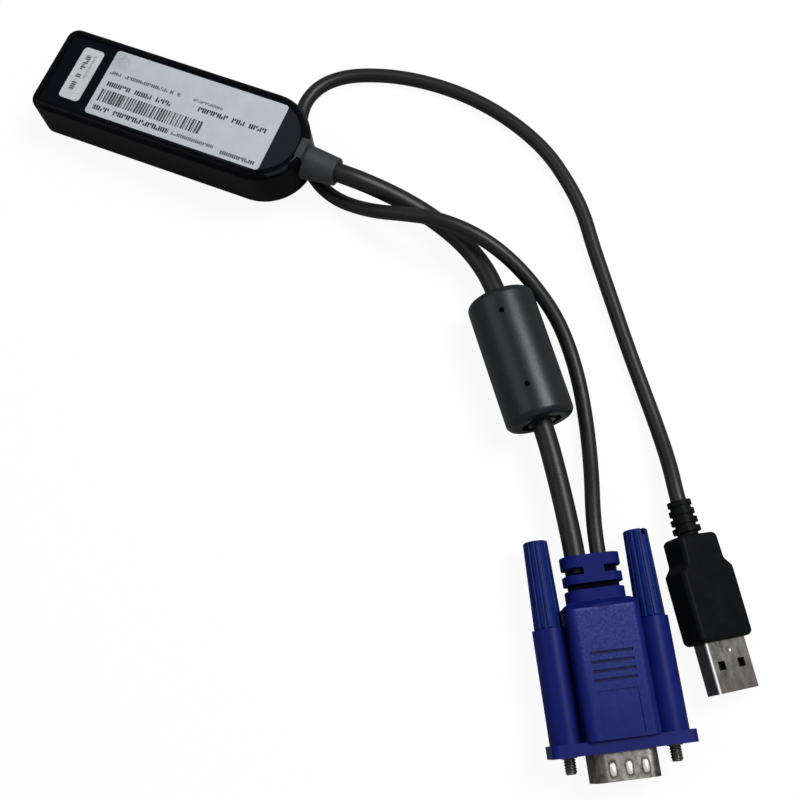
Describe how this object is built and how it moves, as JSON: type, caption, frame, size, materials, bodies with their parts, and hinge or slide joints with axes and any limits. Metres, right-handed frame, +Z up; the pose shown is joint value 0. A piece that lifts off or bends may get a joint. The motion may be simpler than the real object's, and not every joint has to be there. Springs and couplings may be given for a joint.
{
  "type": "keyboard, video and network adapter dongle",
  "caption": "Network-to-console adapter: a glossy black interface case with a network jack, a ferrite-beaded video lead with a thumbscrew plug, and a thin lead with a USB plug.",
  "frame": {"origin": "on the ground under the middle of the interface case, leads and plugs left out", "axes": "+X along the case from its network jack to its cable boot, +Z up, +Y to the left of the boot"},
  "size_m": [0.233, 0.1657, 0.0191],
  "materials": {
    "gloss_case": "glossy moulded ABS",
    "label_stock": "satin printed film",
    "jack_body": "moulded nylon",
    "tin_plate": "tin-plated sheet",
    "gold_contact": "gold-plated",
    "board": "solder-masked laminate",
    "chip_body": "moulded epoxy",
    "capacitor_can": "drawn aluminium",
    "header_nylon": "natural nylon",
    "wire_insulation": "insulated wire",
    "cable_jacket": "satin PVC jacket",
    "boot_rubber": "moulded PVC",
    "ferrite": "sintered ferrite",
    "ferrite_sleeve": "moulded PVC sleeve",
    "plug_blue": "moulded blue PVC",
    "inner_mould": "translucent inner mould",
    "nickel_shell": "nickel-plated drawn steel",
    "insulator": "moulded PBT",
    "screw_steel": "nickel-plated steel",
    "plug_black": "moulded PVC",
    "tongue_white": "moulded PBT"
  },
  "bodies": {
    "adapter": {"inner_wires": "wire_insulation", "lower_case": "gloss_case", "upper_case": "gloss_case", "main_label": "label_stock", "small_label": "label_stock", "jack_housing": "jack_body", "jack_shield": "tin_plate", "jack_contacts": "gold_contact", "circuit_board": "board", "processor_chip": "chip_body", "video_driver_chip": "chip_body", "crystal": "tin_plate", "capacitors": "capacitor_can", "cable_header": "header_nylon", "header_plug": "header_nylon", "cable_boot": "boot_rubber", "ferrite_core": "ferrite", "ferrite_cover": "ferrite_sleeve", "video_hood": "plug_blue", "video_inner_mould": "inner_mould", "video_shell": "nickel_shell", "video_insulator": "insulator", "video_pins": "gold_contact", "usb_overmould": "plug_black", "usb_shell": "nickel_shell", "usb_tongue": "tongue_white", "usb_contacts": "gold_contact", "video_cable": "cable_jacket", "usb_cable": "cable_jacket"},
    "left_thumbscrew": {"left_knob": "plug_blue", "left_screw": "screw_steel"},
    "right_thumbscrew": {"right_knob": "plug_blue", "right_screw": "screw_steel"}
  },
  "joints": [
    {"name": "left_thumbscrew_turn", "type": "hinge", "parent": "adapter", "child": "left_thumbscrew", "pos_m": [0.1572, -0.1184, 0.008], "axis": [0.4886, -0.8725, 0], "continuous": true},
    {"name": "right_thumbscrew_turn", "type": "hinge", "parent": "adapter", "child": "right_thumbscrew", "pos_m": [0.179, -0.10619, 0.008], "axis": [0.4886, -0.8725, 0], "continuous": true}
  ]
}
